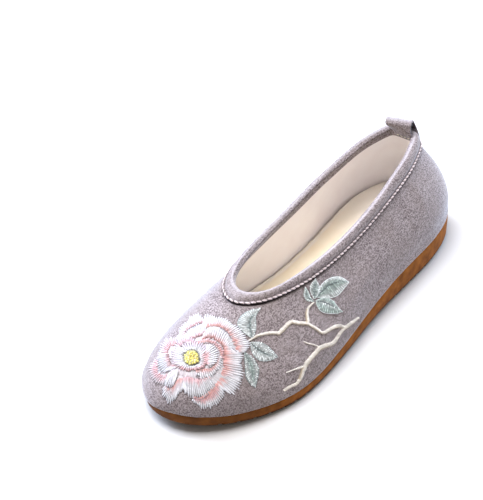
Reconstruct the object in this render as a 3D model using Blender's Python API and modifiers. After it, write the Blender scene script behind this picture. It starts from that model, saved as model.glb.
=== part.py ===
"""Left shoe of a pair of women's slip-on cloth flats.

The pieces are a ribbed rubber outsole, an insole, a hollow cloth upper, a binding folded over
the top line and a pull loop at the back.

Metres, +Z up. The toe points to -Y, the heel to +Y, and +X is the outer side of the left foot.
The origin is on the floor, under the middle of the shoe's bounding box.
"""

from collections import namedtuple

import bmesh
import bpy
import numpy as np

MM = 0.001

# Driving dimensions
LENGTH = 242 * MM
BALL_WIDTH = 80 * MM
BACK_HEIGHT = 68.6 * MM
THROAT_HEIGHT = 50.4 * MM
OPENING_BACK = 25 * MM
OPENING_LENGTH = 156.5 * MM
OPENING_WIDTH = 40.6 * MM
OPENING_AXIS_AT_BACK = -2.6 * MM
OPENING_AXIS_AT_THROAT = 1.0 * MM

# Outsole: a wedge with a flat heel, a low arch, a flat ball and a sprung toe
HEEL_THICKNESS = 14.7 * MM
BALL_THICKNESS = 6.8 * MM
WEDGE_STARTS = 0.26
WEDGE_ENDS = 0.74
TOE_SPRING = 5.6 * MM
SPRING_STARTS = 0.72
ARCH_RISE = 1.2 * MM
ARCH_STARTS = 0.30
ARCH_ENDS = 0.58

# Cross grooves that leave the lugs standing
LUG_PITCH = 8.0 * MM
GROOVE_WIDTH = 2.6 * MM
GROOVE_DEPTH = 1.5 * MM
FIRST_GROOVE = 11 * MM
LAST_GROOVE = 232 * MM
CUTTER_REACH = 10 * MM

# Cloth and board
WALL = 1.8 * MM
INSOLE_THICKNESS = 3.0 * MM
INSOLE_INSET = WALL + 0.5 * MM
SEAT_GAP = 0.4 * MM
CLOTH_GAP = 0.3 * MM

# Top line binding, a strip folded over the collar edge
BINDING_CLOTH = 0.8 * MM
BINDING_OUTSIDE = 6.4 * MM
BINDING_INSIDE = 4.0 * MM
BINDING_ROLL = 1.6 * MM
BINDING_ROLL_STEPS = 4

# Pull loop, a strip that straddles the binding at the back. LOOP_LEAN is how far it tips forwards for
# its rise, and LOOP_BOW where its straight inner side crosses the curved lining: 0 at the lining's
# foremost point across the strip, 1 at its mean.
LOOP_WIDTH = 16.5 * MM
LOOP_CLOTH = 1.3 * MM
LOOP_RISE = 8.8 * MM
LOOP_BASE = 2.0 * MM
LOOP_LEAN = 0.25
LOOP_BOW = 0.25
LOOP_INSIDE = 7.5 * MM
LOOP_OUTSIDE = 7.5 * MM
LOOP_REACH = 8
LOOP_COLUMNS = 9
LOOP_ARCH_STEPS = 9
LOOP_LEG_STEPS = 4

# Mesh density
COLUMNS_PER_SPAN = 4
PROFILE_STEPS = 12
FINE_STEPS = 160

# One row for each section round the shoe, from the toe tip to the back of the heel.
# foot_along is a share of LENGTH from the heel, foot_lateral and foot_medial shares of BALL_WIDTH.
# collar_along runs from 0 at the back of the opening to 1 at the throat, collar_half is a share
# of half of OPENING_WIDTH, and lift goes from 0 at THROAT_HEIGHT to 1 at BACK_HEIGHT.
# swell and rise are the lower handle of the wall's curve, out and up from the foot line in mm.
# shoulder and drop are its upper handle, out and down from the collar in mm.
Section = namedtuple(
    "Section",
    "name foot_along foot_lateral foot_medial collar_along collar_half lift swell rise shoulder drop",
)
SECTIONS = [
    Section("toe_tip", 1.000, -0.045, 0.045, 1.000, 0.00, 0.00, 5.5, 12, 34, 11),
    Section("toe_side", 0.984, 0.130, 0.205, 0.982, 0.32, 0.00, 5.5, 12, 32, 11),
    Section("toe_corner", 0.935, 0.294, 0.358, 0.932, 0.61, 0.02, 5.0, 12, 27, 12),
    Section("toe_root", 0.860, 0.429, 0.452, 0.847, 0.81, 0.05, 4.5, 14, 20, 13),
    Section("ball", 0.760, 0.519, 0.477, 0.741, 0.93, 0.07, 4.0, 16, 13, 14),
    Section("ball_back", 0.640, 0.513, 0.420, 0.616, 0.99, 0.13, 3.5, 17, 10, 14),
    Section("waist_front", 0.520, 0.470, 0.345, 0.491, 1.00, 0.26, 3.5, 18, 8, 14),
    Section("waist", 0.400, 0.429, 0.325, 0.366, 0.97, 0.46, 4.0, 19, 8, 15),
    Section("heel_front", 0.280, 0.404, 0.350, 0.253, 0.88, 0.65, 4.5, 20, 8, 16),
    Section("heel", 0.170, 0.380, 0.364, 0.143, 0.77, 0.83, 5.0, 21, 8, 16),
    Section("heel_corner", 0.075, 0.305, 0.298, 0.055, 0.58, 0.94, 5.0, 22, 8, 16),
    Section("heel_end", 0.020, 0.169, 0.169, 0.005, 0.38, 0.99, 5.0, 22, 8, 16),
    Section("back", 0.000, 0.000, 0.000, 0.000, 0.00, 1.00, 5.0, 22, 8, 16),
]

# Side of the outsole from the floor up: share of the thickness, and how far the edge stands out
# from the foot line.
SOLE_SIDE = [(0.00, -0.4 * MM), (0.14, 0.5 * MM), (0.55, 0.8 * MM), (0.88, 0.8 * MM), (1.00, 0.4 * MM)]

# Edge of the insole from below: share of the thickness, and how far its edge is set in.
INSOLE_SIDE = [(0.0, 0.0), (0.7, 0.0), (1.0, 0.7 * MM)]


def smooth_step(value, start, end):
    """0 before start, 1 after end, and a smooth rise between them."""
    t = np.clip((value - start) / (end - start), 0, 1)
    return t * t * (3 - 2 * t)


def unit_rows(vectors):
    return vectors / np.linalg.norm(vectors, axis=-1, keepdims=True)


def closed_spline(rows, per_span):
    """A smooth closed curve through the rows, with per_span points from each row to the next."""
    rows = np.asarray(rows, float)
    unit = np.eye(len(rows))
    matrix = 4 * unit + np.roll(unit, 1, axis=0) + np.roll(unit, -1, axis=0)
    after = np.roll(rows, -1, axis=0)
    before = np.roll(rows, 1, axis=0)
    slopes = np.linalg.solve(matrix, 3 * (after - before))
    t = np.linspace(0, 1, per_span, endpoint=False)[None, :, None]
    points = (
        rows[:, None] * (1 + 2 * t) * (1 - t) ** 2
        + slopes[:, None] * t * (1 - t) ** 2
        + after[:, None] * t**2 * (3 - 2 * t)
        + np.roll(slopes, -1, axis=0)[:, None] * t**2 * (t - 1)
    )
    return points.reshape(-1, rows.shape[1])


def section_values(section, side):
    """One section's foot line, collar and wall handles in metres, on the outer (1) or inner (-1) side."""
    width = section.foot_lateral if side > 0 else section.foot_medial
    axis = OPENING_AXIS_AT_BACK + section.collar_along * (OPENING_AXIS_AT_THROAT - OPENING_AXIS_AT_BACK)
    return [
        side * width * BALL_WIDTH,
        section.foot_along * LENGTH,
        axis + side * section.collar_half * OPENING_WIDTH / 2,
        OPENING_BACK + section.collar_along * OPENING_LENGTH,
        THROAT_HEIGHT + section.lift * (BACK_HEIGHT - THROAT_HEIGHT),
        section.swell * MM,
        section.rise * MM,
        section.shoulder * MM,
        section.drop * MM,
    ]


def ring_values():
    """The sections' values at every column: from the toe along the outer side, round the heel and back."""
    outer = [section_values(section, 1) for section in SECTIONS]
    inner = [section_values(section, -1) for section in SECTIONS[-2:0:-1]]
    return closed_spline(outer + inner, COLUMNS_PER_SPAN)


def toe_spring(along):
    return TOE_SPRING * np.clip((along / LENGTH - SPRING_STARTS) / (1 - SPRING_STARTS), 0, 1) ** 2


def sole_underside(along):
    """Height of the outsole's underside at a distance from the heel."""
    share = along / LENGTH
    middle = (ARCH_STARTS + ARCH_ENDS) / 2
    arch = smooth_step(share, ARCH_STARTS, middle) - smooth_step(share, middle, ARCH_ENDS)
    return ARCH_RISE * arch + toe_spring(along)


def sole_top(along):
    """Height of the outsole's upper face, which thins from the heel to the ball."""
    wedge = 1 - smooth_step(along / LENGTH, WEDGE_STARTS, WEDGE_ENDS)
    return BALL_THICKNESS + (HEEL_THICKNESS - BALL_THICKNESS) * wedge + toe_spring(along)


def shoe_points(across, along, height):
    """Points from offsets across the shoe, distances from the heel, and heights."""
    return np.stack([across, LENGTH / 2 - along, height], axis=-1)


def set_out(ring, distance):
    """A ring of points moved outwards in plan, square to its own line."""
    tangent = np.roll(ring, -1, axis=0) - np.roll(ring, 1, axis=0)
    outward = np.stack([tangent[:, 1], -tangent[:, 0], np.zeros(len(ring))], axis=-1)
    return ring + unit_rows(outward) * distance


def wall_points(steps):
    """The upper's outer face: a ring of points at each step, from 0 at the foot line to 1 at the collar."""
    values = ring_values()
    foot = shoe_points(values[:, 0], values[:, 1], sole_top(values[:, 1]) + SEAT_GAP)
    collar = shoe_points(values[:, 2], values[:, 3], values[:, 4])
    out = unit_rows((foot - collar) * [1, 1, 0])
    swell, rise, shoulder, drop = (values[:, k, None] for k in range(5, 9))
    lower = foot + out * swell + [0, 0, 1] * rise
    upper = collar + out * shoulder - [0, 0, 1] * drop
    t = np.asarray(steps, float)[:, None, None]
    return foot * (1 - t) ** 3 + 3 * lower * t * (1 - t) ** 2 + 3 * upper * t**2 * (1 - t) + collar * t**3


def below_collar(distance):
    """A ring of points on the upper's outer face, at a distance below the collar edge."""
    fine = wall_points(np.linspace(1, 0, FINE_STEPS))
    steps = np.linalg.norm(np.diff(fine, axis=0), axis=2)
    reach = np.vstack([np.zeros(steps.shape[1]), np.cumsum(steps, axis=0)])
    columns = range(fine.shape[1])
    return np.array([[np.interp(distance, reach[:, j], fine[:, j, k]) for k in range(3)] for j in columns])


def beside_wall(distance, offset):
    """A ring at a distance below the collar edge, or above it if negative, set off the outer face."""
    on_wall = max(distance, 0)
    points = below_collar(on_wall)
    up = unit_rows(points - below_collar(on_wall + MM))
    around = np.roll(points, -1, axis=0) - np.roll(points, 1, axis=0)
    out = unit_rows(np.cross(around, up))
    return points + out * offset + up * max(-distance, 0)


def new_material(name, colour, roughness):
    material = bpy.data.materials.new(name)
    material.use_nodes = True
    shader = material.node_tree.nodes["Principled BSDF"]
    shader.inputs["Base Color"].default_value = (*colour, 1)
    shader.inputs["Roughness"].default_value = roughness
    shader.inputs["Metallic"].default_value = 0
    return material


def new_object(name, bm, material, collection):
    """A smooth-shaded object made from a bmesh."""
    mesh = bpy.data.meshes.new(name)
    bm.to_mesh(mesh)
    bm.free()
    mesh.shade_smooth()
    mesh.set_sharp_from_angle(angle=np.radians(40))
    if material:
        mesh.materials.append(material)
    obj = bpy.data.objects.new(name, mesh)
    collection.objects.link(obj)
    return obj


def add_rings(bm, rings, closed=True):
    """Vertices for each ring of points, with quads between each ring and the next."""
    rows = [[bm.verts.new(point) for point in ring] for ring in rings]
    count = len(rows[0])
    last = count if closed else count - 1
    for below, above in zip(rows, rows[1:]):
        for j in range(last):
            k = (j + 1) % count
            bm.faces.new((below[j], below[k], above[k], above[j]))
    return rows


def add_cap(bm, ring, facing_up):
    """Faces across a ring, strip by strip: each column joins its partner on the other side."""
    count = len(ring)
    for j in range(count // 2):
        corners = [ring[j], ring[j + 1], ring[count - j - 1], ring[(count - j) % count]]
        corners = list(dict.fromkeys(corners))
        bm.faces.new(corners if facing_up else corners[::-1])


def add_solidify(obj, thickness, offset):
    wall = obj.modifiers.new("wall", "SOLIDIFY")
    wall.thickness = thickness
    wall.offset = offset
    wall.use_even_offset = True


def foot_line(distance, height):
    """The foot line set out by a distance, at the given heights."""
    values = ring_values()
    plan = set_out(shoe_points(values[:, 0], values[:, 1], np.zeros(len(values))), distance)
    plan[:, 2] = height
    return plan


def groove_cutter(collection):
    """One box for each groove, as deep as the underside asks where it lies."""
    bm = bmesh.new()
    for along in np.arange(FIRST_GROOVE, LAST_GROOVE, LUG_PITCH):
        top = sole_underside(along) + GROOVE_DEPTH
        box = bmesh.ops.create_cube(bm, size=1)["verts"]
        bmesh.ops.scale(bm, vec=(2 * BALL_WIDTH, GROOVE_WIDTH, CUTTER_REACH), verts=box)
        bmesh.ops.translate(bm, vec=(0, LENGTH / 2 - along, top - CUTTER_REACH / 2), verts=box)
    cutter = new_object("groove_cutter", bm, None, collection)
    cutter.hide_render = True
    cutter.display_type = "WIRE"
    return cutter


def build_outsole(collection, cutters):
    along = ring_values()[:, 1]
    bottom = sole_underside(along)
    thickness = sole_top(along) - bottom
    bm = bmesh.new()
    rings = add_rings(bm, [foot_line(out, bottom + share * thickness) for share, out in SOLE_SIDE])
    add_cap(bm, rings[0], facing_up=False)
    add_cap(bm, rings[-1], facing_up=True)
    outsole = new_object("outsole", bm, new_material("gum_rubber", (0.30, 0.12, 0.03), 0.55), collection)
    cut = outsole.modifiers.new("grooves", "BOOLEAN")
    cut.operation = "DIFFERENCE"
    cut.solver = "EXACT"
    cut.object = groove_cutter(cutters)
    return outsole


def build_insole(collection):
    seat = sole_top(ring_values()[:, 1]) + CLOTH_GAP
    bm = bmesh.new()
    rings = add_rings(
        bm,
        [foot_line(-INSOLE_INSET - edge, seat + share * INSOLE_THICKNESS) for share, edge in INSOLE_SIDE],
    )
    add_cap(bm, rings[0], facing_up=False)
    add_cap(bm, rings[-1], facing_up=True)
    return new_object("insole", bm, new_material("insole_cloth", (0.84, 0.72, 0.53), 0.85), collection)


def build_upper(collection):
    bm = bmesh.new()
    add_rings(bm, wall_points(np.linspace(0, 1, PROFILE_STEPS + 1)))
    upper = new_object("upper", bm, new_material("slub_linen", (0.33, 0.29, 0.31), 0.9), collection)
    add_solidify(upper, WALL, -1)
    return upper


def build_binding(collection):
    """The binding's folded section, swept along the collar: outer leg, roll, inner leg, then its inside."""
    outer_face = CLOTH_GAP + BINDING_CLOTH
    half_roll = WALL / 2 + outer_face
    turns = np.linspace(0, np.pi, BINDING_ROLL_STEPS + 1)
    roll = [(-BINDING_ROLL * np.sin(a), half_roll * np.cos(a) - WALL / 2) for a in turns]
    section = [
        (BINDING_OUTSIDE, CLOTH_GAP),
        (BINDING_OUTSIDE, outer_face),
        (BINDING_OUTSIDE / 2, outer_face),
        *roll,
        (BINDING_INSIDE, -WALL - outer_face),
        (BINDING_INSIDE, -WALL - CLOTH_GAP),
        (-CLOTH_GAP, -WALL - CLOTH_GAP),
        (-CLOTH_GAP, CLOTH_GAP),
        (BINDING_OUTSIDE / 2, CLOTH_GAP),
    ]
    rings = [beside_wall(distance, offset) for distance, offset in section]
    bm = bmesh.new()
    add_rings(bm, rings + rings[:1])
    bmesh.ops.remove_doubles(bm, verts=bm.verts[:], dist=0.01 * MM)
    return new_object("topline_binding", bm, new_material("binding_linen", (0.36, 0.32, 0.34), 0.9), collection)


def build_pull_loop(collection):
    """A strip from inside the heel, up in a straight loop over the curved binding, and down the back."""
    middle = len(below_collar(0)) // 2
    back = slice(middle - LOOP_REACH, middle + LOOP_REACH + 1)
    across = OPENING_AXIS_AT_BACK + np.linspace(-LOOP_WIDTH / 2, LOOP_WIDTH / 2, LOOP_COLUMNS)

    def strip_row(distance, offset):
        ring = beside_wall(distance, offset)[back][::-1]
        return np.stack([np.interp(across, ring[:, 0], ring[:, k]) for k in range(3)], axis=-1)

    def straightened(row, line, share):
        row[:, 1] += share * (line - row[:, 1])
        return row

    stand_off = 2 * CLOTH_GAP + BINDING_CLOTH + LOOP_CLOTH / 2
    inside = []
    outside = []
    for step in np.linspace(0, 1, LOOP_LEG_STEPS):
        row = strip_row(LOOP_INSIDE * (1 - step), -WALL - stand_off)
        line = row[:, 1].min() + LOOP_BOW * (row[:, 1].mean() - row[:, 1].min())
        inside.append(straightened(row, line, step**2))
        row = strip_row(LOOP_OUTSIDE * (1 - step), stand_off)
        outside.append(straightened(row, row[:, 1].max(), step**2))
    centre = (inside[-1] + outside[-1]).mean(axis=0) / 2
    half_gap = (outside[-1] - inside[-1])[:, 1].mean() / 2
    arch = []
    for turn in np.linspace(np.pi, 0, LOOP_ARCH_STEPS):
        rise = LOOP_BASE + (LOOP_RISE - LOOP_BASE) * np.sin(turn)
        depth = centre[1] + half_gap * np.cos(turn) - LOOP_LEAN * rise
        height = np.full(LOOP_COLUMNS, BACK_HEIGHT + rise)
        arch.append(np.stack([across, np.full(LOOP_COLUMNS, depth), height], axis=-1))
    bm = bmesh.new()
    add_rings(bm, inside + arch + outside[::-1], closed=False)
    loop = new_object("pull_loop", bm, new_material("loop_linen", (0.36, 0.32, 0.34), 0.9), collection)
    add_solidify(loop, LOOP_CLOTH, 0)
    return loop


def centre_on_origin(parts, frame):
    """Moves the frame that carries the parts so that their bounding box is centred over the origin."""
    depsgraph = bpy.context.evaluated_depsgraph_get()
    corners = np.array([corner for part in parts for corner in part.evaluated_get(depsgraph).bound_box])
    low = corners.min(axis=0)
    high = corners.max(axis=0)
    frame.location = (-(low[0] + high[0]) / 2, -(low[1] + high[1]) / 2, -low[2])
    for part in parts:
        part.parent = frame


for old in list(bpy.data.objects):
    bpy.data.objects.remove(old, do_unlink=True)

shoe = bpy.data.collections.new("flat_shoe")
cutters = bpy.data.collections.new("cutters")
bpy.context.scene.collection.children.link(shoe)
bpy.context.scene.collection.children.link(cutters)

pieces = [
    build_outsole(shoe, cutters),
    build_insole(shoe),
    build_upper(shoe),
    build_binding(shoe),
    build_pull_loop(shoe),
]
shoe_frame = bpy.data.objects.new("shoe_frame", None)
shoe.objects.link(shoe_frame)
bpy.context.view_layer.update()
centre_on_origin(pieces, shoe_frame)
bpy.data.objects["groove_cutter"].parent = shoe_frame
bpy.context.view_layer.update()
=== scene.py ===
import math

import bmesh
import bpy
import numpy as np
from mathutils import Matrix, Vector, noise
from mathutils.bvhtree import BVHTree
from mathutils.kdtree import KDTree


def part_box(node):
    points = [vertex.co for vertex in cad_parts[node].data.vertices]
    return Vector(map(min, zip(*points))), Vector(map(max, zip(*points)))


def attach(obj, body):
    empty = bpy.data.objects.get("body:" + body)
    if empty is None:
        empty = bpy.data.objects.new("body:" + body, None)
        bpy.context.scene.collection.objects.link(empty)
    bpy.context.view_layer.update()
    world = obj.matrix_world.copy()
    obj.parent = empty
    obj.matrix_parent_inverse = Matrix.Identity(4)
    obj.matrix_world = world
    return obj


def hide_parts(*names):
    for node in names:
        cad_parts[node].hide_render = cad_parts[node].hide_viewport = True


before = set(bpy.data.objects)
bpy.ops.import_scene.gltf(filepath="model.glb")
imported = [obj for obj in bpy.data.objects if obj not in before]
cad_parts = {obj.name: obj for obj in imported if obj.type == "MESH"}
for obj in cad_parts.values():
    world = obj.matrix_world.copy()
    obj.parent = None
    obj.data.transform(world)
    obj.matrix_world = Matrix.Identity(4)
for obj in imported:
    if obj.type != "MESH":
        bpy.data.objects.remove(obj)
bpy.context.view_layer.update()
mm = 0.001
rng = np.random.default_rng(11)  # seeded, so every run lays the same stitches


def linear(hexColour):
    parts = [int(hexColour[i:i + 2], 16) / 255 for i in (1, 3, 5)]
    return [p / 12.92 if p <= 0.04045 else ((p + 0.055) / 1.055) ** 2.4 for p in parts] + [1.0]


def addNode(tree, kind, settings={}, links={}):
    node = tree.nodes.new(kind)
    for key, value in settings.items():
        if isinstance(key, int) or key in node.inputs:
            node.inputs[key].default_value = value
        else:
            setattr(node, key, value)
    for key, socket in links.items():
        tree.links.new(socket, node.inputs[key])
    return node


def newMaterial(name, settings):
    material = bpy.data.materials.new(name)
    material.use_nodes = True
    shader = material.node_tree.nodes["Principled BSDF"]
    for key, value in settings.items():
        shader.inputs[key].default_value = value
    return material, material.node_tree, shader


cadCopy = {"merge": 0.01, "flatAngle": 40}  # mm and degrees, makes one clean mesh of the loose triangles


def copyNode(name):
    bm = bmesh.new()
    bm.from_mesh(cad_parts[name].data)
    bmesh.ops.remove_doubles(bm, verts=bm.verts[:], dist=cadCopy["merge"] * mm)
    bmesh.ops.join_triangles(
        bm, faces=bm.faces[:], angle_face_threshold=math.radians(cadCopy["flatAngle"]),
        angle_shape_threshold=math.pi)
    bm.normal_update()
    return bm


def newPiece(name, bm, materials, replaced=None):
    mesh = bpy.data.meshes.new(name)
    bm.to_mesh(mesh)
    bm.free()
    for material in materials:
        mesh.materials.append(material)
    mesh.shade_smooth()
    piece = bpy.data.objects.new(name, mesh)
    bpy.context.scene.collection.objects.link(piece)
    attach(piece, "root")
    if replaced:
        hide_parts(replaced)
    print("built", name)
    return piece


def modify(piece, kind, settings):  # applies a modifier for good, so that finer shaping can follow
    modifier = piece.modifiers.new(kind.lower(), kind)
    for key, value in settings.items():
        setattr(modifier, key, value)
    mesh = bpy.data.meshes.new_from_object(piece.evaluated_get(bpy.context.evaluated_depsgraph_get()))
    piece.modifiers.clear()
    piece.data = mesh
    mesh.shade_smooth()


def meshPoints(mesh, what="co"):
    flat = np.empty(len(mesh.vertices) * 3)
    mesh.vertices.foreach_get(what, flat)
    return flat.reshape(-1, 3)


def movePoints(mesh, points):
    mesh.vertices.foreach_set("co", points.reshape(-1))
    mesh.update()


def paintPoints(mesh, name, values):
    layer = mesh.attributes.new(name, "FLOAT", "POINT")
    layer.data.foreach_set("value", np.clip(values, 0, 1))


def surfaceTree(mesh):
    bm = bmesh.new()
    bm.from_mesh(mesh)
    return BVHTree.FromBMesh(bm)


def nearSurface(tree, points, reach=0.02):  # distance to a surface, or reach where it is farther off
    return np.array([reach if found[3] is None else found[3]
                     for found in (tree.find_nearest(Vector(point), reach) for point in points)])


def nearLine(line, points):  # distance to a row of points, and the share of the row at the nearest one
    tree = KDTree(len(line))
    for k, point in enumerate(line):
        tree.insert(point, k)
    tree.balance()
    found = [tree.find(point) for point in points]
    return np.array([near[2] for near in found]), np.array([near[1] for near in found]) / (len(line) - 1)


def hump(distance, width):
    return np.exp(-(distance / width) ** 2)


def ease(value, low, high):
    share = np.clip((value - low) / (high - low), 0, 1)
    return share * share * (3 - 2 * share)


def pathLength(points):
    return np.linalg.norm(np.diff(points, axis=0), axis=1).sum()


def evenPoints(points, count):  # the same path, with points an equal distance apart
    steps = np.r_[0, np.cumsum(np.linalg.norm(np.diff(points, axis=0), axis=1))]
    places = np.linspace(0, steps[-1], count)
    return np.stack([np.interp(places, steps, points[:, k]) for k in range(points.shape[1])], axis=-1)


def smoothPath(points, count):
    p = np.array(points, float)
    p = np.vstack([2 * p[0] - p[1], p, 2 * p[-1] - p[-2]])
    t = np.linspace(0, 1, 10, endpoint=False)[:, None]
    spans = [b + 0.5 * ((c - a) * t + (2 * a - 5 * b + 4 * c - d) * t**2 + (3 * b - a - 3 * c + d) * t**3)
             for a, b, c, d in zip(p, p[1:], p[2:], p[3:])]
    return evenPoints(np.vstack(spans + [p[-2:-1]]), count)


# Camera, light and floor

photo = {
    "size": (483, 500),  # px
    "focal": 1522,  # px
    "eye": (402.0, -531.2, 545.2),  # mm
    "azimuth": 40.39,  # degrees
    "elevation": 36.98,
    "roll": -2.43,
}

azimuth, elevation, roll = (math.radians(photo[key]) for key in ("azimuth", "elevation", "roll"))
away = Vector((math.sin(azimuth) * math.cos(elevation), -math.cos(azimuth) * math.cos(elevation),
               math.sin(elevation)))
cameraTurn = (-away).to_track_quat("-Z", "Y").to_matrix() @ Matrix.Rotation(roll, 3, "Z")
cameraEye = Vector(photo["eye"]) * mm
cameraData = bpy.data.cameras.new("photo_camera")
cameraData.sensor_width = 36
cameraData.lens = photo["focal"] * cameraData.sensor_width / max(photo["size"])
cameraData.clip_start = 0.05
camera = bpy.data.objects.new("photo_camera", cameraData)
camera.matrix_world = Matrix.Translation(cameraEye) @ cameraTurn.to_4x4()
bpy.context.scene.collection.objects.link(camera)
bpy.context.scene.camera = camera

studio = {
    "worldStrength": 0.39,
    "worldColour": "#fff6ef",
    "floorSize": 6.0,  # m
    "floorColour": "#d6d5d3",  # under this light it comes out white
    # name, place and aim in m, size in m, power in W, colour
    "lights": [
        ("key", (-1.1, -0.15, 0.65), (0, 0, 0.03), 0.8, 25, "#d6e4ff"),
        ("top", (-0.28, -0.15, 1.47), (0, 0, 0.03), 0.8, 29, "#fafaff"),
        ("rim", (0.0, 1.25, 0.6), (0, 0.08, 0.04), 0.7, 22, "#d4e4fc"),
    ],
}

world = bpy.data.worlds.new("studio")
world.use_nodes = True
world.node_tree.nodes["Background"].inputs["Color"].default_value = linear(studio["worldColour"])
world.node_tree.nodes["Background"].inputs["Strength"].default_value = studio["worldStrength"]
bpy.context.scene.world = world
bpy.context.scene.view_settings.view_transform = "Standard"  # whites stay white
for name, place, aim, size, power, colour in studio["lights"]:
    lightData = bpy.data.lights.new(name, "AREA")
    lightData.energy = power
    lightData.size = size
    lightData.color = linear(colour)[:3]
    light = bpy.data.objects.new(name, lightData)
    light.location = place
    light.rotation_euler = (Vector(aim) - Vector(place)).to_track_quat("-Z", "Y").to_euler()
    bpy.context.scene.collection.objects.link(light)

floorMaterial, tree, shader = newMaterial("matt_paper", {"Roughness": 0.9, "Specular IOR Level": 0.2})
shader.inputs["Base Color"].default_value = linear(studio["floorColour"])
floorMesh = bpy.data.meshes.new("floor")
bm = bmesh.new()
bmesh.ops.create_grid(bm, x_segments=1, y_segments=1, size=studio["floorSize"] / 2)
bm.to_mesh(floorMesh)
bm.free()
floorMesh.materials.append(floorMaterial)
floor = bpy.data.objects.new("floor", floorMesh)
bpy.context.scene.collection.objects.link(floor)
print("stage set")


# Materials. The attribute "shade" is painted shade in seams, at edges and low on the toe; a second attribute
# is a painted highlight on the tops of folds and on the insole.

# Slub linen-cotton: matt crepe weave, short thick threads both ways and a dusty sheen at the edges.
# Real threads are 0.4 mm apart, too fine to show, so the slubs carry the weave.
linen = {
    "dark": "#5f5354",
    "light": "#b4a9aa",
    "warm": "#90847f",
    # the next two colours are the painted shade and the painted highlight
    "shade": "#33292d",
    "paintedHighlight": "#c6c0c3",
    "sheenTint": "#e8ecf6",
    "slubLength": 1.9,  # mm
    "slubWidth": 0.52,
    "slubRange": (0.48, 0.70),  # noise levels of the dark and the light thread
    "wander": 0.6,  # mm, how far the threads stray
    "wanderSize": 2.5,
    "cloudSize": 16,  # mm, warmer clouds in the dye
    "cloudRange": (0.3, 0.8),
    "cloudShare": 0.4,
    "relief": 0.25,  # mm
    "reliefStrength": 0.8,
}
rangeEnds = ("From Min", "From Max")


def linenMaterial():
    material, tree, shader = newMaterial("slub_linen", {
        "Roughness": 0.88, "Specular IOR Level": 0.25, "Sheen Weight": 1.0, "Sheen Roughness": 0.3,
        "Sheen Tint": linear(linen["sheenTint"])})
    coords = addNode(tree, "ShaderNodeTexCoord")
    stray = addNode(tree, "ShaderNodeTexNoise", {"Scale": 1 / (linen["wanderSize"] * mm), "Detail": 1.0},
                    {"Vector": coords.outputs["Object"]})
    offset = addNode(
        tree, "ShaderNodeVectorMath", {"operation": "MULTIPLY_ADD", 1: [linen["wander"] * mm] * 3},
        {0: stray.outputs["Color"], 2: coords.outputs["Object"]})
    slubs = []
    along = 1 / linen["slubLength"] / mm
    across = 1 / linen["slubWidth"] / mm
    for scale in ((along, across, across), (across, along, across), (across, across, along)):
        threads = addNode(tree, "ShaderNodeMapping", {"Scale": scale}, {"Vector": offset.outputs[0]})
        slub = addNode(tree, "ShaderNodeTexNoise", {"Scale": 1.0, "Detail": 0.5, "Roughness": 0.5},
                       {"Vector": threads.outputs[0]})
        slubs.append(slub.outputs[0])
    pair = addNode(tree, "ShaderNodeMath", {"operation": "MAXIMUM"}, {0: slubs[0], 1: slubs[1]})
    cross = addNode(tree, "ShaderNodeMath", {"operation": "MAXIMUM"}, {0: pair.outputs[0], 1: slubs[2]})
    level = addNode(tree, "ShaderNodeMapRange", dict(zip(rangeEnds, linen["slubRange"])),
                    {"Value": cross.outputs[0]})
    colour = addNode(
        tree, "ShaderNodeMix", {"data_type": "RGBA", 6: linear(linen["dark"]), 7: linear(linen["light"])},
        {0: level.outputs[0]})
    clouds = addNode(tree, "ShaderNodeTexNoise", {"Scale": 1 / (linen["cloudSize"] * mm), "Detail": 1.0},
                     {"Vector": coords.outputs["Object"]})
    share = addNode(
        tree, "ShaderNodeMapRange",
        {**dict(zip(rangeEnds, linen["cloudRange"])), "To Max": linen["cloudShare"]},
        {"Value": clouds.outputs[0]})
    tone = addNode(tree, "ShaderNodeMix", {"data_type": "RGBA", 7: linear(linen["warm"])},
                   {0: share.outputs[0], 6: colour.outputs[2]})
    # painted highlight, then painted shade, mixed over the cloth's colour
    for paintedLight in ("paintedHighlight", "shade"):
        amount = addNode(tree, "ShaderNodeAttribute", {"attribute_name": paintedLight})
        tone = addNode(tree, "ShaderNodeMix", {"data_type": "RGBA", 7: linear(linen[paintedLight])},
                       {0: amount.outputs["Fac"], 6: tone.outputs[2]})
    bump = addNode(
        tree, "ShaderNodeBump", {"Strength": linen["reliefStrength"], "Distance": linen["relief"] * mm},
        {"Height": cross.outputs[0]})
    tree.links.new(tone.outputs[2], shader.inputs["Base Color"])
    tree.links.new(bump.outputs[0], shader.inputs["Normal"])
    return material


# Cotton twill: smooth, warm and without shine; the same cloth lines the shoe and covers the insole.
# Its threads are drawn coarser than real, because those would not show.
cotton = {"cloudSize": 14, "cloudRange": (0.3, 0.7), "relief": 0.12, "reliefStrength": 0.35}  # sizes in mm


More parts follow.
